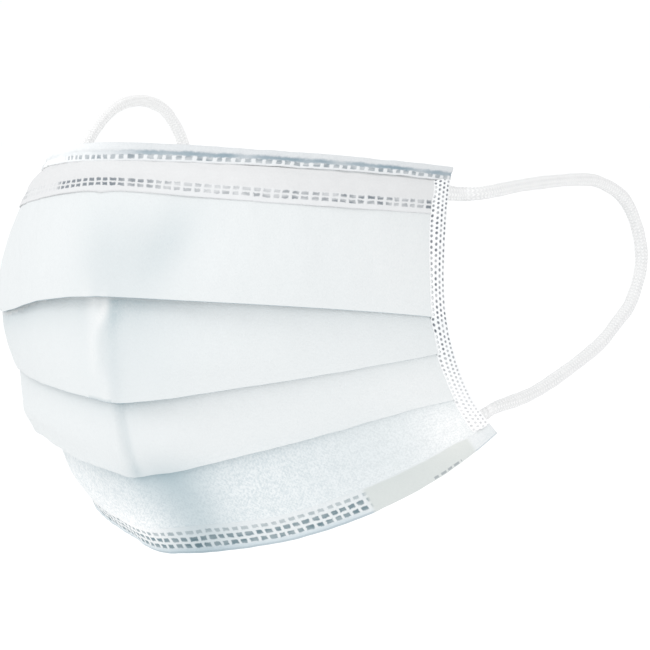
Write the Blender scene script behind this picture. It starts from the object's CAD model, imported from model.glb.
# %% [markdown]
# # A surgical face mask, opened as it is worn
# The mask is a rectangle of thin cloth with three pleats, bound on all four sides, and two elastics.
# Everything on it is cloth, so nothing here is a block: each strip is laid out flat at the size that it
# is cut to, and then each of its points is carried to its place on the worn mask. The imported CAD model
# is loaded first and stays where it is, because every piece here stands for one of its solids.

# %% Load the frame
import math

import bpy
import numpy as np
from mathutils import Matrix, Vector


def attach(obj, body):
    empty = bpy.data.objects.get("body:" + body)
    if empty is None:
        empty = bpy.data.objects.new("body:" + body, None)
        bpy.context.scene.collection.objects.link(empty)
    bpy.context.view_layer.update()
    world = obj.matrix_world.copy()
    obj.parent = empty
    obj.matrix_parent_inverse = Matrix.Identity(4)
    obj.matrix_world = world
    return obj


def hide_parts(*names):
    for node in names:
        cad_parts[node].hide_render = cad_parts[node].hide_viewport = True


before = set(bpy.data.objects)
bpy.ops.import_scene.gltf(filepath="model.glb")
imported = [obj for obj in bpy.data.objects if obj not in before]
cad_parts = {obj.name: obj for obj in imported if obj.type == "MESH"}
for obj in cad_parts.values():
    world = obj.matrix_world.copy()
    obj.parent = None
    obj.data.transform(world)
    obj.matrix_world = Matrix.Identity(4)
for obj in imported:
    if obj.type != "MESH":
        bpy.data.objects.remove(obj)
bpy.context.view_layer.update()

bpy.ops.object.select_all(action="DESELECT")

# %% [markdown]
# ## The camera
# The photograph looks at the mask from its right and a little from above, with a long lens that hardly
# shows perspective. The camera is aimed by a ray, from where it stands through the middle of the
# picture, and is then rolled by the two degrees that the picture leans.

# %% The camera
SCALE = 4.16  # pixels of the photograph to a millimetre, at the pivot
PICTURE = 650
DISTANCE = 0.9
AZIMUTH, ELEVATION, ROLL = (math.radians(a) for a in (38.0, 6.0, 2.0))
PIVOT = Vector((0.0, -0.035, -0.030))
PIVOT_PIXEL = (170.0, 450.0)


def add_camera():
    right = Vector((math.cos(AZIMUTH), math.sin(AZIMUTH), 0.0))
    level = math.cos(ELEVATION)
    ahead = Vector((-math.sin(AZIMUTH) * level, math.cos(AZIMUTH) * level, -math.sin(ELEVATION)))
    up = right.cross(ahead)
    across = (PICTURE / 2 - PIVOT_PIXEL[0]) / SCALE / 1000
    upwards = (PIVOT_PIXEL[1] - PICTURE / 2) / SCALE / 1000
    x = across * math.cos(ROLL) + upwards * math.sin(ROLL)
    y = upwards * math.cos(ROLL) - across * math.sin(ROLL)
    place = PIVOT - ahead * DISTANCE
    aim = (PIVOT + right * x + up * y - place).normalized()
    side = aim.cross(up).normalized()
    top = side.cross(aim)
    turned = Matrix.Rotation(ROLL, 3, aim)
    side, top = turned @ side, turned @ top
    camera = bpy.data.objects.new("camera", bpy.data.cameras.new("camera"))
    bpy.context.scene.collection.objects.link(camera)
    camera.matrix_world = Matrix.Translation(place) @ Matrix((side, top, -aim)).transposed().to_4x4()
    camera.data.sensor_width = 36.0
    camera.data.lens = 36.0 * DISTANCE * 1000 / (PICTURE / SCALE)
    camera.data.clip_start, camera.data.clip_end = 0.05, 50.0
    bpy.context.scene.camera = camera
    return camera


camera = add_camera()
print("lens", round(camera.data.lens, 1), "mm at", [round(x, 3) for x in camera.location])

# %% [markdown]
# ## The form of the cloth
# Six lines run across the mask from side to side: the rim, the seam under the nose band, the edges of
# the three pleats, and the bottom edge. They are lines of one flat rectangle, so all are equally long,
# and each has its own curve in plan. A point of the mask is then given by three numbers: its share of
# the half width (negative on the left), its row (0 at the rim to 5 at the bottom edge), and how far it
# stands out in front of the cloth. These are the CAD model's own numbers, so the pieces fit its solids.

# %% The lines across the mask
HALF_WIDTH = 0.0875
HEIGHT = 0.100
LINES = [
    # back, up, turn in plan, rise, ease
    (-0.561, 0.453, (24, 75), (-4.8, -7.9), 1.09),
    (-0.581, 0.344, (12, 80), (-6.8, -5.7), 1.20),
    (-0.588, 0.087, (3.5, 80), (-1.5, -9.0), 1.20),
    (-0.567, -0.174, (3, 77), (9.7, 3.7), 1.02),
    (-0.500, -0.356, (4, 71), (13.6, 8.8), 0.80),
    (-0.354, -0.550, (17.5, 69), (0.7, 34.5), 1.18),
]
CREASE_ROUND = 0.0045
STEPS = 400
EDGE = 5
FOLDS = (2, 3, 4)


def trace(back, up, turn, rise, ease):
    """Points along one line, from the crease to the side edge."""
    share = np.linspace(0.0, 1.0, STEPS + 1)
    middle = (share[1:] + share[:-1]) / 2
    plan = np.radians(turn[0] + (turn[1] - turn[0]) * middle**ease)
    plan *= np.minimum(middle * HALF_WIDTH / CREASE_ROUND, 1.0)
    slope = np.radians(rise[0] + (rise[1] - rise[0]) * middle)
    step = np.stack([np.cos(slope) * np.cos(plan), np.cos(slope) * np.sin(plan), np.sin(slope)], 1)
    points = np.vstack([[0.0, 0.0, 0.0], np.cumsum(step * HALF_WIDTH / STEPS, 0)])
    return points + np.array([0.0, back, up]) * HEIGHT


TRACED = np.array([trace(*row) for row in LINES])
print("side edge runs from", TRACED[0][-1].round(4), "to", TRACED[5][-1].round(4))


# %% [markdown]
# ## Any point of the cloth
# Between the lines the real cloth is pulled smooth. Flat faces from line to line would show a kink at
# each of them, and a subdivided patch would drift off the lines. So a cubic curve runs down through all
# six, at every share of the width, and its slope also tells which way the cloth faces.


# %% Any point of the cloth
def on_lines(share):
    """The six lines' points at each share: an array of 6 by the number of shares by 3."""
    place = np.clip(np.abs(share), 0.0, 1.0) * STEPS
    low = np.minimum(place.astype(int), STEPS - 1)
    part = (place - low)[None, :, None]
    points = TRACED[:, low] * (1 - part) + TRACED[:, low + 1] * part
    points[..., 0] *= np.where(share < 0, -1.0, 1.0)
    return points


def cloth(share, row):
    """The bare cloth, as a smooth curve down through the six lines. Share and row are flat arrays."""
    points = on_lines(share)
    gaps = np.linalg.norm(np.diff(points, axis=0), axis=2)
    slopes = np.diff(points, axis=0) / gaps[..., None]
    tangents = np.empty_like(points)
    tangents[0], tangents[EDGE] = slopes[0], slopes[-1]
    for i in range(1, EDGE):
        above, below = gaps[i - 1][:, None], gaps[i][:, None]
        tangents[i] = (slopes[i - 1] * below + slopes[i] * above) / (above + below)
    low = np.clip(np.floor(row), 0, EDGE - 1).astype(int)
    n = np.arange(len(share))
    t = np.clip(row - low, 0.0, 1.0)[:, None]
    past = (row - low - t[:, 0])[:, None]
    span = gaps[low, n][:, None]
    a, b, ta, tb = points[low, n], points[low + 1, n], tangents[low, n], tangents[low + 1, n]
    inside = (
        (2 * t**3 - 3 * t**2 + 1) * a
        + (t**3 - 2 * t**2 + t) * span * ta
        + (3 * t**2 - 2 * t**3) * b
        + (t**3 - t**2) * span * tb
    )
    return inside + np.where(past < 0, ta, tb) * span * past


def row_height(share, low):
    """Cloth between line `low` and the next, in metres."""
    points = on_lines(np.asarray(share, float))
    return np.linalg.norm(points[low + 1] - points[low], axis=1)


def lower(share, row, low, down):
    """The row `down` metres below another, on the stretch that starts at line `low`."""
    return row + down / row_height(share, low)


# how steeply the lines fall beside the crease, by row, and how wide the round over it is
CREASE_SLOPES = ([0.0, 1.0, 1.6], [0.084, 0.119, 0.0])
SOFT_CREASE = 0.0055
# how far apart, in share and in row, two points are taken to see which way the cloth runs
ASIDE, BELOW = 0.01, 0.02


def over_crease(share, row):
    """The row that runs over the crease in a round. Without it lines 0 and 1 would make a point there."""
    aside = share * HALF_WIDTH
    down = np.interp(row, *CREASE_SLOPES) * (np.sqrt(aside**2 + SOFT_CREASE**2) - np.abs(aside))
    return row + down / row_height(share, 0)


def place(share, row, out):
    """Where a point of the worn mask is. A share past 1 runs straight on from the side edge."""
    row = over_crease(share, row)
    held = np.clip(share, -1.0, 1.0)
    across = cloth(np.minimum(held + ASIDE, 1.0), row) - cloth(np.maximum(held - ASIDE, -1.0), row)
    down = cloth(held, row + BELOW) - cloth(held, row - BELOW)
    facing = np.cross(down, across)
    facing /= np.linalg.norm(facing, axis=1)[:, None]
    across /= np.linalg.norm(across, axis=1)[:, None]
    return cloth(held, row) + facing * out[:, None] + across * ((share - held) * HALF_WIDTH)[:, None]


def smooth(value):
    value = np.clip(value, 0.0, 1.0)
    return value * value * (3 - 2 * value)


for share, where in ((0.0, "crease"), (1.0, "side")):
    heights = [round(1000 * float(row_height([share], low)[0]), 1) for low in range(EDGE)]
    print("height of the rows at the", where, heights, "mm")

# %% [markdown]
# ## Shader maths
# A material here is a list of sums on where a point lies on its cloth. Python can write those sums as it
# writes any others: a small class wraps a socket, and adding or multiplying two of them adds the Math
# node for it. Every other node comes from one method, which takes the node's type, its settings and the
# values or links of its sockets.


# %% The wrapped socket and the finish
class Wire:
    """One output socket. Sums of wires and numbers add Math nodes to the same finish."""

    def __init__(self, finish, socket):
        self.finish, self.socket = finish, socket

    def sum(self, operation, *values):
        return self.finish.node("ShaderNodeMath", {"operation": operation}, dict(enumerate(values)))

    def __add__(self, other):
        return self.sum("ADD", self, other)

    def __sub__(self, other):
        return self.sum("SUBTRACT", self, other)

    def __rsub__(self, other):
        return self.sum("SUBTRACT", other, self)

    def __mul__(self, other):
        return self.sum("MULTIPLY", self, other)

    def __abs__(self):
        return self.sum("ABSOLUTE", self)

    def __pow__(self, other):
        return self.sum("POWER", self, other)

    def __rpow__(self, other):
        return self.sum("POWER", other, self)

    def most(self, other):
        return self.sum("MAXIMUM", self, other)

    def least(self, other):
        return self.sum("MINIMUM", self, other)

    __radd__, __rmul__ = __add__, __mul__


class Finish:
    """A material whose nodes are all added by `node`."""

    def __init__(self, name, roughness):
        self.material = bpy.data.materials.new(name)
        self.material.use_nodes = True
        self.tree = self.material.node_tree
        self.shader = self.tree.nodes["Principled BSDF"]
        self.shader.inputs["Roughness"].default_value = roughness

    def node(self, kind, settings=(), sockets=(), output=0):
        made = self.tree.nodes.new(kind)
        for name, value in dict(settings).items():
            setattr(made, name, value)
        for name, value in dict(sockets).items():
            self.feed(made.inputs[name], value)
        return Wire(self, made.outputs[output])

    def feed(self, socket, value):
        if isinstance(value, Wire):
            self.tree.links.new(value.socket, socket)
        elif isinstance(value, tuple) and socket.type == "RGBA":
            socket.default_value = (*value, 1.0)
        else:
            socket.default_value = value

    def along_and_down(self):
        """The cloth's own coordinates in millimetres: along the strip, and across it."""
        laid = self.node("ShaderNodeUVMap", {"uv_map": "cloth"})
        split = self.node("ShaderNodeSeparateXYZ", (), {0: laid})
        return split, Wire(self, split.socket.node.outputs[1])

    def toned(self, colour, grain):
        """The colour, greyed and slightly blued where the cloth's own attribute says so, fibre by fibre."""
        tone = self.node("ShaderNodeAttribute", {"attribute_name": "tone"}, (), 2)
        tone = tone * (grain * 1.6 + 0.2)
        grey = self.at(1.0 - tone * 1.25, 1.0 - tone, 1.0 - tone * 0.9)
        return self.node("ShaderNodeVectorMath", {"operation": "MULTIPLY"}, {0: colour, 1: grey})

    def at(self, x, y, z=0.0):
        return self.node("ShaderNodeCombineXYZ", (), {0: x, 1: y, 2: z})

    def noise(self, where, scale, detail=2.0, roughness=0.5):
        sockets = {"Vector": where, "Scale": scale, "Detail": detail, "Roughness": roughness}
        return self.node("ShaderNodeTexNoise", {"noise_dimensions": "3D"}, sockets)

    def fade(self, value, low, high):
        """0 below `low`, 1 above `high` and smooth between."""
        sockets = {"Value": value, "From Min": low, "From Max": high}
        return self.node("ShaderNodeMapRange", {"interpolation_type": "SMOOTHSTEP"}, sockets)

    def blend(self, share, first, second):
        """A colour between two, `share` of the way. The Mix node's colours are its sockets 6 and 7."""
        return self.node("ShaderNodeMix", {"data_type": "RGBA"}, {0: share, 6: first, 7: second}, 2)

    def finish(self, colour, height, distance, toned=True):
        """Feeds the shader its colour and a bump, which is `distance` metres high where `height` is 1."""
        self.feed(self.shader.inputs["Base Color"], self.toned(colour, height) if toned else colour)
        bump = self.node("ShaderNodeBump", (), {"Height": height, "Distance": distance})
        self.feed(self.shader.inputs["Normal"], bump)
        return self.material


def fraction(value):
    return value.sum("FRACT", value) if isinstance(value, Wire) else value - np.floor(value)


def whole(value):
    return value.sum("FLOOR", value) if isinstance(value, Wire) else np.floor(value)


def wave(value):
    return value.sum("SINE", value) if isinstance(value, Wire) else np.sin(value)


def fade(value, low, high):
    """0 below `low`, 1 above `high` and smooth between, for arrays and for wires."""
    if isinstance(value, Wire):
        return value.finish.fade(value, low, high)
    return smooth((value - low) / (high - low))


print("three eighths of the way up a fade:", smooth(0.375).round(3))

# %% [markdown]
# ## Laying out cloth
# A strip starts as a flat grid primitive. `wear` asks for where each of its points goes, by column and
# by line of the grid, and keeps the flat cloth's own coordinates in millimetres as its UV map, so that a
# weld or a fibre keeps its size wherever the cloth bends. A Solidify modifier then gives it its plies.

# %% A flat grid
PLIES = 0.00025
STRIP = 0.00022


def flat_grid(name, columns, lines):
    """A grid primitive, and the column and line of each of its points. Line 0 is the upper one."""
    bpy.ops.object.select_all(action="DESELECT")
    bpy.ops.mesh.primitive_grid_add(x_subdivisions=columns, y_subdivisions=lines, size=1.0)
    piece = bpy.context.object
    piece.name = piece.data.name = name
    flat = np.empty(len(piece.data.vertices) * 3)
    piece.data.vertices.foreach_get("co", flat)
    flat = flat.reshape(-1, 3)
    column = np.rint((flat[:, 0] + 0.5) * columns).astype(int)
    line = np.rint((0.5 - flat[:, 1]) * lines).astype(int)
    print(name, "starts flat, with", columns, "columns and", lines, "lines")
    return piece, column, line


def carry_points(piece, where, first, second):
    """Moves the grid's points, and keeps two coordinates of the cloth as its UV map."""
    mesh = piece.data
    mesh.vertices.foreach_set("co", where.ravel())
    corners = np.empty(len(mesh.loops), int)
    mesh.loops.foreach_get("vertex_index", corners)
    mesh.uv_layers[0].name = "cloth"
    mesh.uv_layers[0].data.foreach_set("uv", np.stack([first, second], 1)[corners].ravel())
    mesh.update()


# %% From the grid to worn cloth
def wear(name, columns, lines, carry, thickness):
    """A piece of cloth on the worn mask. `carry` takes arrays of column and line numbers and returns
    share, row, out, the flat cloth's two coordinates, and a grey to add."""
    piece, column, line = flat_grid(name, columns, lines)
    share, row, out, along, down, grey = carry(column, line)
    tone = piece.data.attributes.new("tone", "FLOAT", "POINT")
    tone.data.foreach_set("value", tone_at(share, row) + grey)
    carry_points(piece, place(share, row, out), along, down)
    ply = piece.modifiers.new("plies", "SOLIDIFY")
    ply.thickness, ply.offset, ply.use_rim = thickness, -1.0, True
    bpy.ops.object.modifier_apply(modifier="plies")
    bpy.ops.object.shade_smooth()
    return piece


def dress(piece, material, slot, *nodes):
    """Gives the piece its material, its body and the CAD nodes that it stands for."""
    piece.data.materials.clear()
    piece.data.materials.append(material)
    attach(piece, "root")
    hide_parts(*nodes)
    print(piece.name, "has", len(piece.data.polygons), "faces")


# %% [markdown]
# ## The pleated panel
# Three plies of nonwoven cloth are folded into three pleats that all face down, and the mask is opened
# by pulling them apart at the middle, so they stand off most there and lie flat at the sides. Each fold
# could be faked by a groove, but a real fold throws the thin shadow that the photograph shows, so the
# cloth is really folded here: down to the edge, round it, up behind it, round again and down.

# %% Sizes of the pleats
PLEAT_LIP_SIDE = 0.00072
PLEAT_TUCK = 0.0050
FOLD_RADIUS, TUCK_RADIUS = 0.00030, 0.00009
TOP_SLOT = 0.0013
PANEL_COLUMNS = 232
FACE_LINES = (34, 30, 22)
CROWD = 0.28  # how much closer together the columns stand at the crease
print("cloth behind each pleat:", round(2000 * PLEAT_TUCK, 1), "mm")

# %% [markdown]
# ## How the pleats open
# Pulled open, no two pleats lie alike. The edges run a little above or below the plain lines, most of
# all at the left, and the points of the lower two lie to the right of the crease. Each pleat is pressed
# flat under the bindings and stands off between them. Both are tables over the share of the width.

# %% Where the pleats' edges lie
# millimetres above the plain line at some shares, or below it
LIFTS = {
    2: ([-1.0, -0.93, -0.70, -0.55, -0.42, -0.25, -0.10, 1.0],
        [0.0, 0.0, -2.6, -3.8, -2.9, -0.8, 0.0, 0.0]),
    3: ([-1.0, -0.93, -0.30, 0.0, 0.025, 0.12, 1.0], [0.0, 0.0, 0.5, 1.1, 0.4, 0.0, 0.0]),
    4: ([-1.0, -0.93, -0.72, -0.45, -0.25, 0.0, 0.02, 0.12, 0.55, 0.82, 0.94, 1.0],
        [0.0, 0.0, 1.2, 3.2, 2.7, 1.4, 0.45, 0.0, 0.7, 1.1, 0.2, 0.0]),
}


def lift_at(share, fold):
    return np.interp(share, *LIFTS[fold]) / 1000


print("the lowest pleat's edge lies up to", max(LIFTS[4][1]), "mm above its line")

# %% How far the pleats stand off
# millimetres at some shares; the lowest pleat stands well off at the left
LIPS = {
    2: ([-1.0, -0.93, -0.55, -0.15, 0.0, 0.12, 0.50, 0.93, 1.0],
        [0.72, 0.72, 1.2, 2.2, 1.9, 2.3, 1.9, 0.72, 0.72]),
    3: ([-1.0, -0.93, -0.55, -0.30, 0.0, 0.12, 0.50, 0.93, 1.0],
        [0.72, 0.72, 0.72, 0.9, 0.9, 2.1, 1.8, 0.72, 0.72]),
    4: ([-1.0, -0.93, -0.70, -0.45, -0.20, 0.0, 0.12, 0.50, 0.93, 1.0],
        [0.72, 0.72, 2.5, 4.2, 3.0, 0.9, 2.1, 1.8, 0.72, 0.72]),
}
LEVELS = np.linspace(-1.0, 1.0, 401)


def softened(values, over=24):
    """The broken line between a table's values, rounded off over some of the levels."""
    kernel = np.hanning(over + 2)[1:-1]
    padded = np.pad(values, over, mode="edge")
    return np.convolve(padded, kernel / kernel.sum(), mode="same")[over:-over]


SOFT_LIPS = {fold: softened(np.interp(LEVELS, *table)) for fold, table in LIPS.items()}


def lip_at(share, fold):
    lip = np.interp(share, LEVELS, SOFT_LIPS[fold]) / 1000
    uneven = 0.07 * np.sin(19 * share + 0.6 + fold) + 0.05 * np.sin(41 * share + 2 * fold)
    return PLEAT_LIP_SIDE + (np.maximum(lip, PLEAT_LIP_SIDE) - PLEAT_LIP_SIDE) * (1 + uneven)


print("the pleats stand off by", [round(1000 * float(lip_at(0.12, fold)), 1) for fold in FOLDS], "mm")

# %% [markdown]
# ## Dents and ridges
# Soft cloth buckles: a ridge runs down the crease with a dent beside it, and the left side is pressed in.
# Sculpting could do it by hand, but a table of round hills is easier to read and to change. A place is a
# share of the half width and a row. A hill is so many millimetres wide along the share and rows tall,
# leans by so many millimetres a row, and stands out by millimetres. Side 0 is both sides.

# %% Dents and ridges
RIDGES = [
    # side, share, row, wide, tall, lean, out
    (0, 0.000, -0.2, 6.5, 1.20, 0.0, -1.40),
    (-1, 0.022, 2.45, 1.7, 0.55, -1.7, 0.50),
    (1, 0.016, 2.45, 2.4, 0.60, 1.7, -0.45),
    (1, 0.100, 2.45, 5.0, 0.50, 0.0, -0.70),
    (0, 0.000, 3.50, 1.3, 0.60, 0.0, 0.35),
    (1, 0.026, 3.50, 1.2, 0.60, 0.0, -0.55),
    (1, 0.090, 3.40, 5.0, 0.50, 0.0, -0.50),
    (1, 0.180, 1.45, 8.0, 0.40, -9.0, -1.30),
    (1, 0.400, 1.60, 12.0, 0.40, -6.0, 0.80),
    (1, 0.280, 2.60, 14.0, 0.35, 8.0, 0.45),
    (1, 0.550, 2.40, 12.0, 0.30, -4.0, -0.35),
    (1, 0.120, 4.40, 8.0, 0.42, 4.0, -1.60),
    (1, 0.420, 4.60, 14.0, 0.40, 0.0, 0.80),
    (-1, 0.090, 4.50, 6.0, 0.50, 0.0, 0.40),
    (-1, 0.380, 4.40, 15.0, 0.33, 0.0, 1.60),
    (-1, 0.260, 5.10, 14.0, 0.34, 0.0, -1.90),
    (-1, 0.460, 1.75, 16.0, 0.55, 0.0, -1.90),
]


def hills(table, share, row):
    """The sum of a table's round hills at each point of the cloth."""
    total = np.zeros_like(row)
    for side, at, level, wide, tall, lean, high in table:
        for sign in (-1, 1):
            if side * sign >= 0:
                x = ((sign * share - at) * 1000 * HALF_WIDTH - lean * (row - level)) / wide
                once = 0.5 if side == 0 and at == 0.0 else 1.0
                total = total + once * high * np.exp(-x * x - ((row - level) / tall) ** 2)
    return total


def relief(share, row):
    """How far the cloth stands out of the plain form, from its ridges, dents and slight unevenness."""
    out = 0.001 * hills(RIDGES, share, row)
    uneven = np.sin(31 * share + 2.1 * row) + np.sin(-53 * share + 3.7 * row + 1.0)
    uneven += 0.6 * np.sin(87 * share + 9.1 * row) + 0.5 * np.sin(140 * share - 14 * row + 2.0)
    return (out + 0.00005 * uneven) * (1 - smooth((np.abs(share) - 0.86) / 0.08))


print("the cloth dips by up to", -min(row[-1] for row in RIDGES), "mm")

# %% [markdown]
# ## Where the cloth looks greyer
# Light shines through the thin cloth. Where its plies lie close behind one another, under a fold and
# beside the crease, less of it does, and the cloth looks greyer than its shadows alone would make it.
# Light that passes through cloth can't be baked into the exported model. So each point keeps a grey of
# its own, as an attribute that the material reads: hills as above, and a band under each fold.

# %% The greys
GREYS = [
    # side, share, row, wide, tall, lean, grey
    (1, 0.200, 1.50, 7.0, 0.42, -9.0, 0.115),
    (1, 0.060, 1.62, 8.0, 0.42, -4.0, 0.065),
    (1, 0.028, 3.90, 1.9, 0.12, 0.0, 0.080),
    (1, 0.110, 2.50, 14.0, 0.55, 0.0, 0.060),
    (0, 0.000, 1.50, 7.0, 0.45, -6.0, 0.035),
    (1, 0.025, 2.50, 3.2, 0.50, 1.7, 0.070),
    (1, 0.001, 2.13, 1.3, 0.14, -10.0, -0.140),
    (1, 0.034, 2.18, 2.4, 0.16, -8.0, 0.080),
    (1, 0.027, 3.50, 1.3, 0.50, 0.8, 0.090),
    (-1, 0.030, 2.10, 1.8, 0.20, -1.7, -0.040),
    (-1, 0.036, 2.50, 1.8, 0.30, -1.7, -0.045),
    (0, 0.000, 2.85, 1.3, 0.22, 0.0, -0.040),
    (1, 0.115, 4.24, 9.0, 0.42, 3.0, 0.230),
    (1, 0.120, 4.85, 9.0, 0.24, 0.0, 0.130),
    (1, 0.110, 4.62, 7.0, 0.30, 0.0, 0.080),
    (-1, 0.050, 4.62, 7.0, 0.24, 0.0, -0.090),
    (-1, 0.330, 4.50, 16.0, 0.60, 0.0, -0.100),
    (-1, 0.160, 4.72, 11.0, 0.26, 0.0, -0.110),
    (1, 0.900, 4.45, 9.0, 0.45, 0.0, -0.125),
    (1, 0.620, 4.40, 18.0, 0.40, 0.0, 0.060),
    (1, 0.060, 5.00, 9.0, 0.12, 0.0, 0.110),
    (1, 0.850, 1.50, 14.0, 0.50, 0.0, -0.030),
    (1, 0.850, 3.55, 14.0, 0.40, 0.0, -0.030),
]
UNDER_FOLDS = {
    # share, grey just under the fold, millimetres over which it fades
    2: ([-1.0, -0.30, -0.07, -0.03, 0.004, 0.03, 0.10, 0.20, 0.35, 0.8, 1.0],
        [0.13, 0.175, 0.16, 0.02, 0.0, 0.25, 0.24, 0.145, 0.11, 0.07, 0.05], 4.2),
    3: ([-1.0, -0.30, 0.0, 0.03, 0.12, 0.30, 0.8, 1.0],
        [0.02, 0.08, 0.18, 0.26, 0.20, 0.08, 0.02, 0.02], 2.2),
    4: ([-1.0, -0.30, 0.0, 0.10, 0.30, 0.6, 1.0], [0.12, 0.20, 0.20, 0.32, 0.19, 0.10, 0.02], 3.2),
}


def tone_at(share, row):
    """How much greyer than plain cloth it looks, as a share of its light. Below 0 it looks whiter."""
    tone = hills(GREYS, share, row)
    for fold, (at, grey, reach) in UNDER_FOLDS.items():
        below = 1000 * ((row - fold) * row_height(share, fold) + lift_at(share, fold))
        tone = tone + np.interp(share, at, grey) * np.exp(-np.maximum(below, 0) / reach) * (below > 0)
    return tone


print("grey just under the pleats:", tone_at(np.full(len(FOLDS), 0.1), np.array(FOLDS) + 0.01).round(2))

# %% [markdown]
# ## Folding the panel
# One grid makes the whole panel. Each of its lines has a rule for its row and how far out it lies: on a
# pleat's face, round its edge, on its underside, round the root, or on the cloth tucked behind.


# %% The panel's lines
def panel_line(kind, fold, part):
    """The rule of one line of the grid: a function of the share that gives row and out."""

    def rule(share):
        a = np.abs(share)
        above = fold - 1
        if kind == "top":
            start, end = lower(a, 0.0, 0, TOP_SLOT), 1.0
            return start + (end - start) * part, np.zeros_like(a)
        if kind == "last":
            start, end = EDGE - 1, lower(a, EDGE, EDGE - 1, -TOP_SLOT)
            return start + (end - start) * part, np.zeros_like(a)
        lip = lip_at(share, fold)
        lift = lift_at(share, fold)
        tuck = lower(a, fold, above, -PLEAT_TUCK - lift)
        edge = lower(a, fold, above, -FOLD_RADIUS - lift)
        if kind == "face":
            row = above + (edge - above) * part
            return row, lip * smooth((row - above) / (tuck - above))
        if kind == "edge":
            turn = math.pi * part
            row = lower(a, edge, above, FOLD_RADIUS * math.sin(turn))
            return row, lip - FOLD_RADIUS * (1 - math.cos(turn))
        if kind == "under":
            first = lip - 2 * FOLD_RADIUS
            return edge + (tuck - edge) * part, first + (2 * TUCK_RADIUS - first) * part
        if kind == "root":
            turn = math.pi * part
            row = lower(a, tuck, above, -TUCK_RADIUS * math.sin(turn))
            return row, TUCK_RADIUS * (1 + math.cos(turn))
        return tuck + (fold - tuck) * part, np.zeros_like(a)

    return rule


def parts(count, from_zero=False):
    return [n / count for n in range(0 if from_zero else 1, count + 1)]


PANEL_LINES = [("top", 0, p) for p in parts(6, True)]
for fold, faces in zip(FOLDS, FACE_LINES):
    PANEL_LINES += [("face", fold, p) for p in parts(faces)]
    PANEL_LINES += [("edge", fold, p) for p in parts(7)]
    PANEL_LINES += [("under", fold, p) for p in parts(4)]
    PANEL_LINES += [("root", fold, p) for p in parts(3)]
    PANEL_LINES += [("tucked", fold, p) for p in parts(4)]
PANEL_LINES += [("last", 0, p) for p in parts(26)]
print("the panel has", len(PANEL_LINES), "lines")


# %% The panel
UNDERSIDE, TURNED = 0.42, 0.2  # its grey, and the share of the round edge that still faces forwards


def underside_grey(kind, part):
    """Each pleat shows a thin darker line where its edge turns under."""
    return UNDERSIDE if kind == "under" or (kind == "edge" and part > TURNED) else 0.0


def run_of(points):
    """How far along a line each of its points lies."""
    return np.append(0.0, np.cumsum(np.linalg.norm(np.diff(points, axis=0), axis=1)))


def carry_panel(column, line):
    limit = 1.0 - TOP_SLOT / HALF_WIDTH
    shares = limit * (2 * np.arange(PANEL_COLUMNS + 1) / PANEL_COLUMNS - 1)
    # the columns stand closer together at the crease, where the cloth bends most
    shares = shares * (1 - CROWD + CROWD * (shares / limit) ** 2)
    rows, outs = np.empty((2, len(PANEL_LINES), len(shares)))
    for n, (kind, fold, part) in enumerate(PANEL_LINES):
        rows[n], outs[n] = panel_line(kind, fold, part)(shares)
    middle = len(shares) // 2
    down = 1000 * run_of(place(np.zeros(len(rows)), rows[:, middle], outs[:, middle]))
    print("cloth down the panel at the crease:", round(down[-1], 1), "mm")
    share, row, out = shares[column], rows[line, column], outs[line, column]
    grey = np.array([underside_grey(kind, part) for kind, _, part in PANEL_LINES])
    return share, row, out + relief(share, row), 1000 * HALF_WIDTH * share, down[line], grey[line]


panel = wear("pleated_panel_cloth", PANEL_COLUMNS, len(PANEL_LINES) - 1, carry_panel, PLIES)

# %% [markdown]
# ## Weld marks
# No thread holds the mask together: heated pins press through the plies and leave short dashes, or dots
# at the side edges. A weld is both a dent in the cloth and a darker, glassier spot, and both come from
# the same sums here: with arrays they press the mesh, and with wires they colour the material.


# %% Dashes and dots
def dashes(along, down, centre, tall, pitch, wide, phase=0.0):
    """1 inside the dashes of one row, 0 outside. All in millimetres; the pitch wanders slightly."""
    x = fraction(along * (1 / pitch) + wave(along * 0.43) * 0.08 + wave(along * 1.31) * 0.05 + phase)
    across = 1.0 - fade(abs(x - 0.5) * pitch, wide / 2 - 0.15, wide / 2 + 0.15)
    return across * (1.0 - fade(abs(down - centre), tall / 2 - 0.14, tall / 2 + 0.14))


COLUMN_PITCH, DOT_PITCH = 1.16, 1.32
FIRST_COLUMN, LAST_COLUMN = (0.34, 0.36), (4.97, 4.99)


def dots(edge, along, radius=0.33):
    """1 inside the staggered dots of a side binding: `edge` is the distance in from its fold."""
    x = edge * (1 / COLUMN_PITCH) - 0.30
    column = whole(x)
    aside = (fraction(x) - 0.5) * COLUMN_PITCH
    y = (fraction(along * (1 / DOT_PITCH) + column * 0.5 + wave(along * 0.9) * 0.06) - 0.5) * DOT_PITCH
    far = (aside * aside + y * y * 0.8) ** 0.5
    held = fade(edge, *FIRST_COLUMN) * (1.0 - fade(edge, *LAST_COLUMN))
    return (1.0 - fade(far, radius - 0.12, radius + 0.12)) * held


print("a dot every", DOT_PITCH, "mm, in columns", COLUMN_PITCH, "mm apart")

# %% The weld rows
# each row's distance from the strip's edge, its height, its pitch, its dashes' length, and its start
TOP_ROWS = [(3.40, 1.05, 2.30, 1.40, 0.3)]
NOSE_ROWS = [(9.00, 0.72, 2.30, 1.60, 0.0), (10.10, 0.72, 2.30, 1.60, 0.02)]
BOTTOM_ROWS = [
    (1.95, 0.98, 2.30, 1.55, 0.0),
    (3.55, 0.98, 2.30, 1.55, 0.16),
    (5.10, 0.80, 2.30, 1.45, 0.30),
]
LAST_PINS = [(0.80, 0.70, 2.10, 1.45, 0.1)]


def rows_of(table, along, down):
    total = 0.0
    for row in table:
        total = dashes(along, down, *row) + total
    return total


print("rows of dashes:", len(TOP_ROWS), "above,", len(NOSE_ROWS), "on the band,", len(BOTTOM_ROWS), "below")

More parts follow.
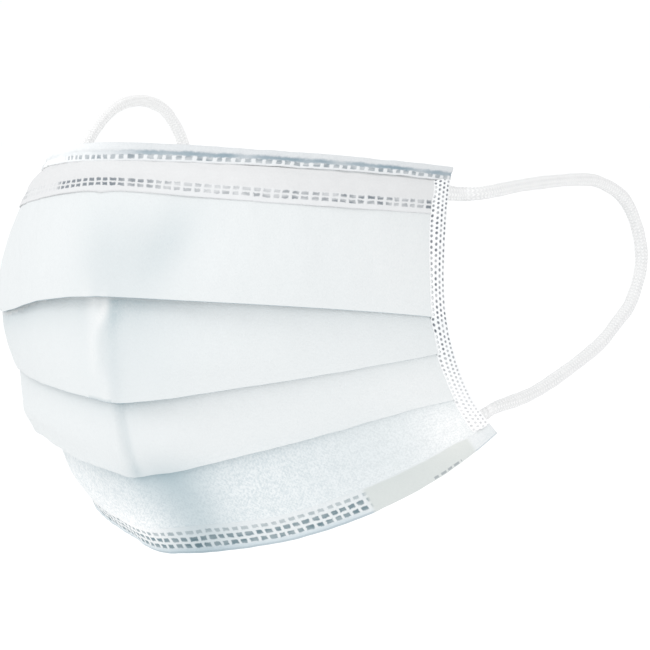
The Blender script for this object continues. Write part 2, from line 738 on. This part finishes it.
# %% [markdown]
# ## The strips folded over the rim and the bottom edge
# A narrow strip of cloth is folded over each cut edge and welded. Seen in section it is a channel, so
# each is one grid whose lines run up one side, round the fold and down the other. The section is drawn
# by a few points and sampled evenly.

# %% Sections
TOP_HEM, BOTTOM_HEM, BOTTOM_HEM_SIDE = 0.0042, 0.0066, 0.0046
GAP = 0.0003
STRIP_COLUMNS = 560
HEM_STEP, BINDING_STEP = 0.26, 0.155  # millimetres from line to line of a section


def rounded(points, steps):
    """A smooth curve through the points, in some steps from each to the next."""
    ends = np.vstack([2 * points[0] - points[1], points, 2 * points[-1] - points[-2]])
    fine = []
    for i in range(1, len(ends) - 2):
        p0, p1, p2, p3 = ends[i - 1 : i + 3]
        for t in np.linspace(0, 1, steps, endpoint=False):
            bend = (2 * p0 - 5 * p1 + 4 * p2 - p3) * t**2
            twist = (3 * p1 - p0 - 3 * p2 + p3) * t**3
            fine.append(0.5 * (2 * p1 + (p2 - p0) * t + bend + twist))
    return np.array([*fine, points[-1]])


def evenly(points, count):
    """The same line in `count` even steps, and how far along it each point lies."""
    run = run_of(points)
    even = np.linspace(0, run[-1], count + 1)
    return np.stack([np.interp(even, run, values) for values in points.T], 1), even


def section(points, step):
    """An even, rounded line through the section's points: inwards, out and length, in millimetres."""
    fine = rounded(np.array(points, float), 12)
    even, run = evenly(fine, round(run_of(fine)[-1] / step))
    return even[:, 0], even[:, 1], run


def strip_shares(columns, limit=1.0):
    return limit * (2 * np.arange(columns + 1) / columns - 1)


# %% The top hem
TOP_SECTION = section(
    [(4.2, -0.80), (2.9, -0.85), (1.4, -1.15), (0.45, -1.0), (0.0, -0.25), (0.25, 0.65), (0.9, 0.98),
     (1.7, 0.86), (2.3, 0.44), (2.75, 0.56), (3.4, 0.60), (4.1, 0.48), (4.5, 0.22)], HEM_STEP)


def carry_top_hem(column, line):
    inward, out, run = TOP_SECTION
    # down counts along the strip from the rim, and is negative on the back
    down = run - run[-1] + inward[-1]
    share = strip_shares(STRIP_COLUMNS)[column]
    along = share * 1000 * HALF_WIDTH
    row = inward[line] / 1000 / row_height(share, 0)
    dent = 0.16 * rows_of(TOP_ROWS, along, np.abs(down[line])) * np.sign(down[line])
    uneven = 0.10 * np.sin(0.21 * along) * np.sin(0.9 * run[line]) + 0.05 * np.sin(0.83 * along + run[line])
    return share, row, (out[line] - dent + uneven) / 1000 + relief(share, row), along, down[line], 0.0


top_hem = wear("top_hem_strip", STRIP_COLUMNS, len(TOP_SECTION[0]) - 1, carry_top_hem, STRIP)

# %% [markdown]
# ## The bottom hem
# The lower strip is taller and carries three weld rows. Near the side bindings it is gathered with the
# cloth and gets lower, so its height is a table over the share, and one section serves all of it. A row
# of strips of other heights would show steps. At the right a plain patch is pressed flat over the rows.

# %% How tall the bottom hem is
HEM_TALL = ([0.0, 0.50, 0.75, 0.88, 0.935, 1.0], [8.4, 8.4, 7.3, 6.3, 4.8, 4.6])
PATCH_STARTS, PATCH_ENDS = (50.2, 51.7), (79.5, 81.0)  # millimetres along the hem
PATCH_RISES, PATCH_STOPS = (-0.4, 0.0), (5.9, 6.4)  # and up it


def bottom_stretch(share):
    """The hem's height at each share, to its height in section."""
    return np.interp(np.abs(share), *HEM_TALL) / (1000 * BOTTOM_HEM)


def patch_at(along, up):
    """1 on the pressed patch, 0 outside."""
    across = fade(up, *PATCH_RISES) * (1.0 - fade(up, *PATCH_STOPS))
    return fade(along, *PATCH_STARTS) * (1.0 - fade(along, *PATCH_ENDS)) * across


print("the bottom hem is from", min(HEM_TALL[1]), "to", max(HEM_TALL[1]), "mm tall")

# %% The bottom hem
BOTTOM_SECTION = section(
    [(6.6, -0.04), (6.2, 0.08), (5.4, 0.22), (4.0, 0.28), (2.0, 0.34), (0.9, 0.50), (0.25, 0.42),
     (0.0, -0.15), (0.3, -0.80), (1.2, -0.90), (3.5, -0.75), (6.6, -0.70)], HEM_STEP)
ROWS_END = 79  # millimetres from the crease


def carry_bottom_hem(column, line):
    inward, out, run = BOTTOM_SECTION
    share = strip_shares(STRIP_COLUMNS)[column]
    along = share * 1000 * HALF_WIDTH
    row = EDGE - inward[line] * bottom_stretch(share) / 1000 / row_height(share, EDGE - 1)
    # up counts along the strip from the bottom edge, and is negative on the back
    up = inward[0] - run[line]
    marks = rows_of(BOTTOM_ROWS, along, np.abs(up)) * np.sign(up)
    patch = patch_at(along, up)
    dent = 0.12 * marks * (1.0 - patch) * (np.abs(along) < ROWS_END) + 0.06 * patch
    uneven = 0.05 * np.sin(0.33 * along) * np.sin(0.7 * run[line])
    return share, row, (out[line] - dent + uneven) / 1000 + relief(share, row), along, up, 0.0


bottom_hem = wear("bottom_hem_strip", STRIP_COLUMNS, len(BOTTOM_SECTION[0]) - 1, carry_bottom_hem, STRIP)

# %% [markdown]
# ## The nose band
# A strip welded under the rim holds the wire that is pressed to the nose. Nothing of the wire shows but
# the slight rise of the cloth over it, so only that rise is made. Two rows of dashes close it below.

# %% The nose band
NOSE_SECTION = section(
    [(3.6, 0.10), (4.3, 0.18), (5.0, 0.45), (5.8, 0.66), (7.2, 0.66), (8.0, 0.44), (8.6, 0.30),
     (10.8, 0.28), (11.5, 0.25)], HEM_STEP)
SIDE_BINDING = 0.0050
NOSE_LIMIT = 1.0 - 0.6 * SIDE_BINDING / HALF_WIDTH


def carry_nose_band(column, line):
    inward, out, run = NOSE_SECTION
    share = strip_shares(STRIP_COLUMNS, NOSE_LIMIT)[column]
    along = share * 1000 * HALF_WIDTH
    row = inward[line] / inward[-1]
    dent = 0.15 * rows_of(NOSE_ROWS, along, inward[line])
    uneven = 0.06 * np.sin(0.17 * along + 1.0) * np.sin(0.6 * run[line])
    return share, row, (out[line] - dent + uneven) / 1000 + relief(share, row), along, inward[line], 0.0


nose_band = wear("nose_band_strip", STRIP_COLUMNS, len(NOSE_SECTION[0]) - 1, carry_nose_band, STRIP)

# %% [markdown]
# ## The side bindings
# At each side the pleats are pressed flat and held in a folded strip. It is stiff, so it keeps one even
# curve while the pleats beside it open. A plain channel would do for its outer edge, but its inner edge
# lies on the nose band and the pleats, so there it takes their steps, softened as cloth softens them.

# %% The side bindings
SIDE_TALL = [float(row_height([1.0], low)[0]) for low in range(EDGE)]
SIDE_HEIGHT = sum(SIDE_TALL)
SIDE_SECTION = section(
    [(5.0, -0.62), (3.0, -0.72), (0.8, -0.88), (0.2, -0.70), (0.0, 0.05), (0.25, 0.78), (0.9, 1.02),
     (2.5, 1.02), (4.0, 0.94), (5.0, 0.80)], BINDING_STEP)
SIDE_LINES = 400
LAID_FROM, LAID_OVER = 2.6, 2.4  # millimetres in from the fold: where the strip bends onto the panel
LAID_OFF = 0.10


def side_row(depth):
    """The row on the side edge that lies `depth` metres of cloth below the rim there."""
    starts = np.cumsum([0.0] + SIDE_TALL)
    return np.interp(depth, starts, np.arange(EDGE + 1))


def lifted_by(rows):
    """How far the nose band and the pleats lift the binding's inner edge, in millimetres."""
    inward, out, _ = NOSE_SECTION
    out = np.interp(rows, inward / inward[-1], out) * (rows < 1)
    for fold in FOLDS:
        start = lower(np.ones_like(rows), fold, fold - 1, -PLEAT_TUCK)
        on = (rows >= fold - 1) & (rows < fold)
        out = out + on * 1000 * PLEAT_LIP_SIDE * smooth((rows - fold + 1) / (start - fold + 1))
    return softened(out, 10)


def carry_binding(side):
    inward, out, run = SIDE_SECTION
    first, last = TOP_HEM + GAP, SIDE_HEIGHT - BOTTOM_HEM_SIDE - GAP
    lifted = lifted_by(side_row(first + (last - first) * np.arange(SIDE_LINES + 1) / SIDE_LINES))

    def carry(column, line):
        # front first on the right, back first on the left, so that both face outwards
        n = len(inward) - 1 - column if side > 0 else column
        along = first + (last - first) * line / SIDE_LINES
        edge = inward[-1] - run[-1] + run[n]
        share = side * (1.0 - inward[n] / 1000 / HALF_WIDTH)
        dent = 0.14 * dots(edge, 1000 * (along - first))
        # the strip's inner edge lies on the panel, steps and all
        onto = smooth((inward[n] - LAID_FROM) / LAID_OVER) * (out[n] > 0)
        lying = out[n] * (1 - onto) + (lifted[line] + LAID_OFF) * onto
        return share, side_row(along), (lying - dent) / 1000, edge, 1000 * (along - first), 0.0

    return carry


SIDE_COLUMNS = len(SIDE_SECTION[0]) - 1
binding_right = wear("side_binding_right_strip", SIDE_COLUMNS, SIDE_LINES, carry_binding(1), STRIP)
binding_left = wear("side_binding_left_strip", SIDE_COLUMNS, SIDE_LINES, carry_binding(-1), STRIP)

# %% [markdown]
# ## The ear loops
# Each elastic is a thin knitted tube, welded flat to the inside of the binding and round everywhere else.
# A limp cord could be dropped by a cloth simulation, but the photograph fixes where it hangs. So its route
# is the CAD model's own list of points, given again as shares of the mask's height.

# %% The routes
CORD = 0.0033
UPPER_ANCHOR, LOWER_ANCHOR = 0.0076, 0.0072
NEAR_LOOP = [
    # out, back, up
    (0.622, 0.105, 0.294), (0.633, 0.289, 0.306), (0.649, 0.492, 0.308), (0.657, 0.590, 0.294),
    (0.665, 0.683, 0.250), (0.669, 0.739, 0.166), (0.670, 0.749, 0.080), (0.666, 0.703, -0.008),
    (0.662, 0.640, -0.056), (0.653, 0.533, -0.119), (0.634, 0.304, -0.198),
]
FAR_LOOP = [
    (0.617, 0.085, 0.350), (0.622, 0.147, 0.433), (0.631, 0.262, 0.508), (0.640, 0.375, 0.528),
    (0.648, 0.475, 0.513), (0.653, 0.536, 0.479), (0.657, 0.591, 0.411), (0.662, 0.635, 0.300),
    (0.664, 0.640, 0.190), (0.660, 0.595, 0.080), (0.652, 0.500, -0.020), (0.640, 0.370, -0.120),
    (0.625, 0.240, -0.195),
]
# the middle of the CAD binding's section, from its flat pleat and its two walls
CAD_LIP, CAD_PANEL, CAD_STRIP = 0.0003, 0.0012, 0.0010
MIDDLE = ((CAD_LIP + GAP + CAD_STRIP) - (CAD_PANEL + GAP + CAD_STRIP)) / 2
SLANT_ROOM = 0.62  # of the cord's thickness, by which a slanting start stays clear of the binding


def spot(share, row, out):
    return place(np.array([share]), np.array([row]), np.array([out]))[0]


def unit(vector):
    return vector / np.linalg.norm(vector)


def anchor(side, depth):
    """Where an elastic starts, its direction there, and the direction of the binding's edge."""
    row = float(side_row(depth))
    point = spot(side, row, MIDDLE)
    outward = unit(point - spot(side * 0.97, row, MIDDLE))
    along = unit(spot(side, row + 0.05, MIDDLE) - spot(side, row - 0.05, MIDDLE))
    slant = abs(along @ outward)
    clear = GAP + SLANT_ROOM * CORD * slant / math.sqrt(1.0 - slant**2)
    return point + outward * clear, outward, along


def loop_route(side, between):
    high, high_out, edge = anchor(side, UPPER_ANCHOR)
    low, low_out, _ = anchor(side, SIDE_HEIGHT - LOWER_ANCHOR)
    route = [high, high + high_out * CORD]
    route += [np.array([side * out, back, up]) * HEIGHT for out, back, up in between]
    route += [low + low_out * CORD, low]
    return rounded(np.array(route), 24), edge


near_run = run_of(loop_route(1, NEAR_LOOP)[0])[-1]
print("the near loop shows", round(1000 * float(near_run), 1), "mm of elastic")

# %% [markdown]
# ## The knit
# The elastic is knitted round its rubber threads in nine columns of small V-shaped stitches. Real yarns
# would take millions of faces. Here a grid is rolled into a tube along the route, its wall rises with the
# stitches by a tenth of a millimetre, and the same sum shades the yarn in the material.

# %% The stitches
RINGS, SIDES, WALES = 620, 36, 9
COURSE = 0.95  # millimetres of cord to a stitch
HELD = 0.0026  # run on inside the binding, where the weld holds it
PRESSED = 16.0  # millimetres from an end over which the tube turns from flat to round
TUBE, YARN = 0.00152, 0.00010  # the tube's radius, and how far the yarn stands out


def knit(turn, along):
    """How far the yarn stands out: V-shaped stitches in columns round the tube. `along` in mm."""
    x = fraction(turn * WALES) - 0.5
    v = wave((along * (1 / COURSE) + abs(x) * 1.1) * (2 * math.pi)) * 0.5 + 0.5
    return v * (1.0 - abs(x) * 1.6)


print("stitches round the elastic:", WALES, "and along a metre:", round(1000 / COURSE))


# %% The knitted tubes
def across_cord(points, edge):
    """At each ring two directions across the cord, which follow it without a twist."""
    tangents = np.gradient(points, axis=0)
    tangents /= np.linalg.norm(tangents, axis=1)[:, None]
    wide = np.empty_like(points)
    wide[0] = unit(edge - tangents[0] * (edge @ tangents[0]))
    for i in range(1, len(points)):
        wide[i] = unit(wide[i - 1] - tangents[i] * (wide[i - 1] @ tangents[i]))
    return wide, np.cross(tangents, wide)


def close_tube():
    """Joins the grid's long edges, fills both ends and turns the faces outwards."""
    bpy.ops.object.mode_set(mode="EDIT")
    bpy.ops.mesh.select_all(action="SELECT")
    bpy.ops.mesh.remove_doubles(threshold=1e-6)
    bpy.ops.mesh.fill_holes(sides=0)
    bpy.ops.mesh.select_all(action="SELECT")
    bpy.ops.mesh.normals_make_consistent(inside=False)
    bpy.ops.object.mode_set(mode="OBJECT")
    bpy.ops.object.shade_smooth()


def ear_loop(name, side, between):
    """The tube, the route of its middle, and its length with the stretches inside the binding."""
    fine, edge = loop_route(side, between)
    inward = [unit(fine[0] - fine[1]) * HELD, unit(fine[-1] - fine[-2]) * HELD]
    points, run = evenly(np.vstack([fine[0] + inward[0], fine, fine[-1] + inward[1]]), RINGS)
    wide, thick = across_cord(points, edge)
    tube, column, line = flat_grid(name, SIDES, RINGS)
    ring, turn = RINGS - line, column / SIDES
    along = 1000 * run[ring]
    pressed = 1.0 - smooth(np.minimum(along, along.max() - along) / PRESSED)
    angle = turn * 2 * math.pi
    swell = 1 + 0.03 * np.sin(along * 0.37 + side) + 0.02 * np.sin(along * 1.1)
    radius = TUBE * swell + YARN * knit(turn, along)
    x = np.cos(angle) * radius * (1 + 0.24 * pressed)
    y = np.sin(angle) * radius * (1 - 0.30 * pressed)
    where = points[ring] + wide[ring] * x[:, None] + thick[ring] * y[:, None]
    carry_points(tube, where, turn, along)
    close_tube()
    print(name, "is", round(1000 * run[-1], 1), "mm long")
    path = [tuple(float(x) for x in p) for p in evenly(fine, 40)[0]]
    return tube, path, float(run[-1])


loop_right, path_right, length_right = ear_loop("ear_loop_right_elastic", 1, NEAR_LOOP)
loop_left, path_left, length_left = ear_loop("ear_loop_left_elastic", -1, FAR_LOOP)

# %% [markdown]
# ## Cloth, weld and elastic
# The cloth is spunbonded: fine fibres laid at random and pressed together at a grid of tiny points, so
# close to, it is slightly mottled. It is white with a breath of blue. A weld lets the light through to
# the shade behind, so it looks grey. A picture of cloth would repeat and blur, so noise at the size of
# the fibres makes it here, laid out in the cloth's own millimetres.


# %% The nonwoven cloth
def mottle(made, along, down):
    """Fibre clumps and pressed points, from 0 to 1."""
    fibre = made.noise(made.at(along * 1.8, down * 1.3), 1.0, 3.0, 0.7)
    clump = made.noise(made.at(along * 0.45, down * 0.34, 3.0), 1.0, 2.0, 0.5)
    point = wave(along * 7.3) * wave(down * 7.3 + along * 0.4) * 0.5 + 0.5
    return fibre * 0.74 + clump * 0.20 + point * 0.06


def panel_finish():
    made = Finish("nonwoven cloth", 0.88)
    along, down = made.along_and_down()
    grain = mottle(made, along, down)
    lower_part = made.fade(down, 95.0, 112.0)
    # the mottling shows most on the lowest fold, beside the crease
    coarse = lower_part * (1.0 - made.fade(along, 30.0, 62.0) * 0.75)
    shade = made.fade(grain, 0.30, 0.70) * (1.0 - lower_part) + made.fade(grain, 0.37, 0.61) * lower_part
    plain = made.blend(lower_part, (0.698, 0.716, 0.721), (0.750, 0.773, 0.780))
    deep = made.blend(coarse, (0.676, 0.698, 0.704), (0.580, 0.632, 0.654))
    return made.finish(made.blend(shade, deep, plain), grain, 0.00014)


def strip_finish(name, plain, deep, mark, rows, least, most, hidden=0.0, beside=0.0):
    """A strip's cloth and its weld rows. `most` is how far a mark is blended in where it is deepest, and
    `least` the share of that where it is weakest. `beside` raises the weakest marks beside the crease,
    and `hidden` is the share that the marks lose at the left."""
    made = Finish(name, 0.85)
    along, down = made.along_and_down()
    grain = mottle(made, along, down)
    # a pin's edge is never quite straight
    wander = made.noise(made.at(along * 1.1, down * 1.1, 11.0), 1.0, 2.0) - 0.5
    marks = rows_of(rows, along + wander * 0.7, abs(down) + wander * 0.5)
    uneven = made.fade(made.noise(made.at(along * 0.20, down * 0.6, 7.0), 1.0, 2.0), 0.32, 0.66)
    # they are pressed deepest beside the crease
    deepest = made.fade(along, -24.0, -20.0) * (1.0 - made.fade(along, 4.0, 9.0))
    uneven = uneven.most(deepest * beside)
    marks = marks * (uneven * (1 - least) + least) * most
    # where the left side turns into the light the marks hardly show
    shown = made.fade(along, -19.0, -15.5) + (1.0 - made.fade(along, -46.0, -40.0))
    marks = marks * (shown * hidden + (1 - hidden))
    base = made.blend(made.fade(grain, 0.3, 0.7), deep, plain)
    return made, along, down, grain, made.blend(marks, base, mark), marks


def top_hem_finish():
    plain, deep, mark = (0.664, 0.679, 0.690), (0.605, 0.623, 0.638), (0.20, 0.24, 0.27)
    made, along, down, grain, colour, marks = strip_finish(
        "top hem cloth", plain, deep, mark, TOP_ROWS, 0.50, 0.90, hidden=0.9, beside=0.5)
    # above the row the strip is pressed in along a ragged, shaded groove
    ragged = made.noise(made.at(along * 0.9, down * 0.9, 9.0), 1.0, 3.0) - 0.5
    depth = down + ragged * 0.8
    groove = made.fade(depth, 1.4, 2.1) * (1.0 - made.fade(depth, 2.65, 3.10))
    shade = made.noise(made.at(along * 0.08, 2.0), 1.0, 1.0)
    lit = made.fade(along, 0.0, 10.0) + (1.0 - made.fade(along, -56.0, -44.0))
    groove = groove * made.fade(shade, 0.25, 0.6) * (lit * 0.66 + 0.13)
    # below the groove, and where the strip turns into the light at the left, the cloth is whiter
    turned = made.fade(along, -50.0, -40.0) * (1.0 - made.fade(along, -20.0, 12.0))
    white = (made.fade(down, 2.8, 3.1) * 0.4).most(turned) * (1.0 - marks.least(1.0))
    colour = made.blend(white, colour, (0.81, 0.82, 0.825))
    return made.finish(made.blend(groove, colour, (0.16, 0.25, 0.31)), grain, 0.0001)


def nose_band_finish():
    plain, deep, mark = (0.674, 0.675, 0.679), (0.650, 0.652, 0.658), (0.15, 0.175, 0.20)
    made, along, down, grain, colour, marks = strip_finish(
        "nose band cloth", plain, deep, mark, NOSE_ROWS, 0.45, 0.95, hidden=0.9, beside=0.9)
    # the band lightens towards the middle of the right half, where its marks hardly show
    faint = made.fade(along, 6.0, 18.0) * (1.0 - made.fade(along, 36.0, 48.0)) * 0.30
    colour = made.blend(faint, colour, (0.700, 0.700, 0.702))
    # the welded strip is whiter than the band over the wire
    white = made.fade(down, 8.3, 8.7) * (made.fade(along, 8.0, 24.0) * 0.4 + 0.2)
    white = white * (1.0 - marks.least(1.0))
    return made.finish(made.blend(white, colour, (0.70, 0.71, 0.72)), grain, 0.00008)


def bottom_hem_finish():
    plain, deep, mark = (0.724, 0.745, 0.753), (0.655, 0.683, 0.695), (0.10, 0.17, 0.20)
    made, along, up, grain, colour, _ = strip_finish(
        "bottom hem cloth", plain, deep, mark, BOTTOM_ROWS, 0.72, 0.93)
    # the upper row is fainter, and past the side bindings no row shows
    faint = made.fade(up, 4.4, 4.5) * (made.fade(along, -16.0, 12.0) * 0.35 + 0.10)
    faint = faint.most(made.fade(abs(along), ROWS_END - 0.5, ROWS_END + 0.5))
    base = made.blend(made.fade(grain, 0.3, 0.7), deep, plain)
    # below the rows the hem turns from the light
    edge = made.fade(up, -1.2, -0.2) * (1.0 - made.fade(up, 0.9, 1.9))
    edge = edge * (1.0 - made.fade(along, 44.0, 54.0)) * 0.6
    colour = made.blend(faint, colour, base)
    colour = made.blend(edge, colour, (0.47, 0.56, 0.61))
    # the fold's own underside is a thin darker line
    fold_line = made.fade(up, -1.2, -0.5) * (1.0 - made.fade(up, 0.50, 0.95))
    colour = made.blend(fold_line * 0.7, colour, (0.36, 0.43, 0.47))
    patch = patch_at(along, up)
    colour = made.blend(patch, colour, (0.600, 0.627, 0.614))
    # four darker pins stand below the patch
    held = made.fade(along, 67.5, 67.8) * (1.0 - made.fade(along, 75.8, 76.0))
    pins = rows_of(LAST_PINS, along, up) * held
    return made.finish(made.blend(pins * 0.75, colour, (0.28, 0.31, 0.33)), grain, 0.0001)


def binding_finish():
    made = Finish("side binding cloth", 0.85)
    edge, along = made.along_and_down()
    grain = mottle(made, edge, along)
    marks = dots(edge, along)
    uneven = made.fade(made.noise(made.at(edge * 0.9, along * 0.25, 5.0), 1.0, 2.0), 0.3, 0.6)
    base = made.blend(made.fade(grain, 0.3, 0.7), (0.81, 0.815, 0.82), (0.86, 0.865, 0.87))
    # the lowest dots are pressed less and hardly darken the cloth
    marks = marks * (uneven * 0.5 + 0.5) * (1.0 - made.fade(along, 40.0, 56.0) * 0.55)
    return made.finish(made.blend(marks, base, (0.15, 0.165, 0.19)), grain, 0.00008)


def elastic_finish(name, dark, light, worn):
    """Yarn that is `light` on top of its stitches and `dark` between them, in places dulled to `worn`."""
    made = Finish(name, 0.9)
    turn, along = made.along_and_down()
    yarn = knit(turn, along)
    fuzz = made.noise(made.at(turn * 24.0, along * 2.2), 1.0, 3.0, 0.6)
    height = yarn * 0.6 + fuzz * 0.4
    patchy = made.fade(made.noise(made.at(turn * 3.0, along * 0.5, 4.0), 1.0, 2.0), 0.35, 0.65)
    yarn_colour = made.blend(made.fade(height, 0.25, 0.65), dark, light)
    colour = made.blend(patchy * 0.5, yarn_colour, worn)
    return made.finish(colour, height, 0.00014, toned=False)


binding = binding_finish()
near_elastic = elastic_finish(
    "knitted elastic", (0.70, 0.70, 0.70), (0.845, 0.84, 0.838), (0.785, 0.78, 0.778))
# light from behind shines through the far elastic's knit
far_elastic = elastic_finish(
    "knitted elastic, lit through", (0.765, 0.76, 0.757), (0.915, 0.907, 0.902), (0.85, 0.843, 0.838))
dress(panel, panel_finish(), "panel", "pleated_panel")
dress(top_hem, top_hem_finish(), "strip", "top_hem")
dress(bottom_hem, bottom_hem_finish(), "strip", "bottom_hem")
dress(nose_band, nose_band_finish(), "band", "nose_band")
dress(binding_right, binding, "strip", "side_binding_right")
dress(binding_left, binding, "strip", "side_binding_left")
dress(loop_right, near_elastic, "elastic", "ear_loop_right")
dress(loop_left, far_elastic, "elastic", "ear_loop_left")

# %% [markdown]
# ## What is limp
# The elastics and the cloth have no joints, so they are told to the frame as cords and as a sheet, with
# the lengths and the flat size that they would have off the face.

# %% [markdown]
# ## The studio
# The photograph is cut out on white, so the mask hangs over a white floor that runs out of sight, in
# even white light. A backdrop on every side would work as well, but it would hide the mask from behind.
# A wide, soft lamp high on the left draws the shadows under the pleats.


# %% Floor and light
def add_floor():
    bpy.ops.object.select_all(action="DESELECT")
    bpy.ops.mesh.primitive_plane_add(size=12.0, location=(0.0, 4.0, -0.16))
    floor = bpy.context.object
    floor.name = "floor"
    bpy.ops.object.transform_apply(location=True, rotation=False, scale=True)
    made = Finish("white floor", 0.9)
    made.shader.inputs["Base Color"].default_value = (0.97, 0.97, 0.97, 1.0)
    made.shader.inputs["Emission Color"].default_value = (1.0, 1.0, 1.0, 1.0)
    made.shader.inputs["Emission Strength"].default_value = 0.06
    floor.data.materials.append(made.material)


def add_lamp(name, place, target, size, power):
    data = bpy.data.lights.new(name, "AREA")
    data.shape, data.size, data.energy = "SQUARE", size, power
    lamp = bpy.data.objects.new(name, data)
    bpy.context.scene.collection.objects.link(lamp)
    aim = Vector(target) - Vector(place)
    lamp.matrix_world = Matrix.Translation(place) @ aim.to_track_quat("-Z", "Y").to_matrix().to_4x4()
    print(name, "gives", power, "W from", round(aim.length, 2), "m")


add_floor()
add_lamp("high soft lamp", (-0.50, -0.70, 0.95), (0.0, -0.03, 0.0), 0.40, 3.4)
add_lamp("low fill lamp", (0.75, -0.80, 0.30), (0.0, -0.03, 0.0), 0.60, 1.5)
world = bpy.data.worlds.new("white room")
world.use_nodes = True
world.node_tree.nodes["Background"].inputs["Color"].default_value = (0.985, 0.995, 1.0, 1.0)
world.node_tree.nodes["Background"].inputs["Strength"].default_value = 1.025
bpy.context.scene.world = world
bpy.context.scene.view_settings.view_transform = "Standard"
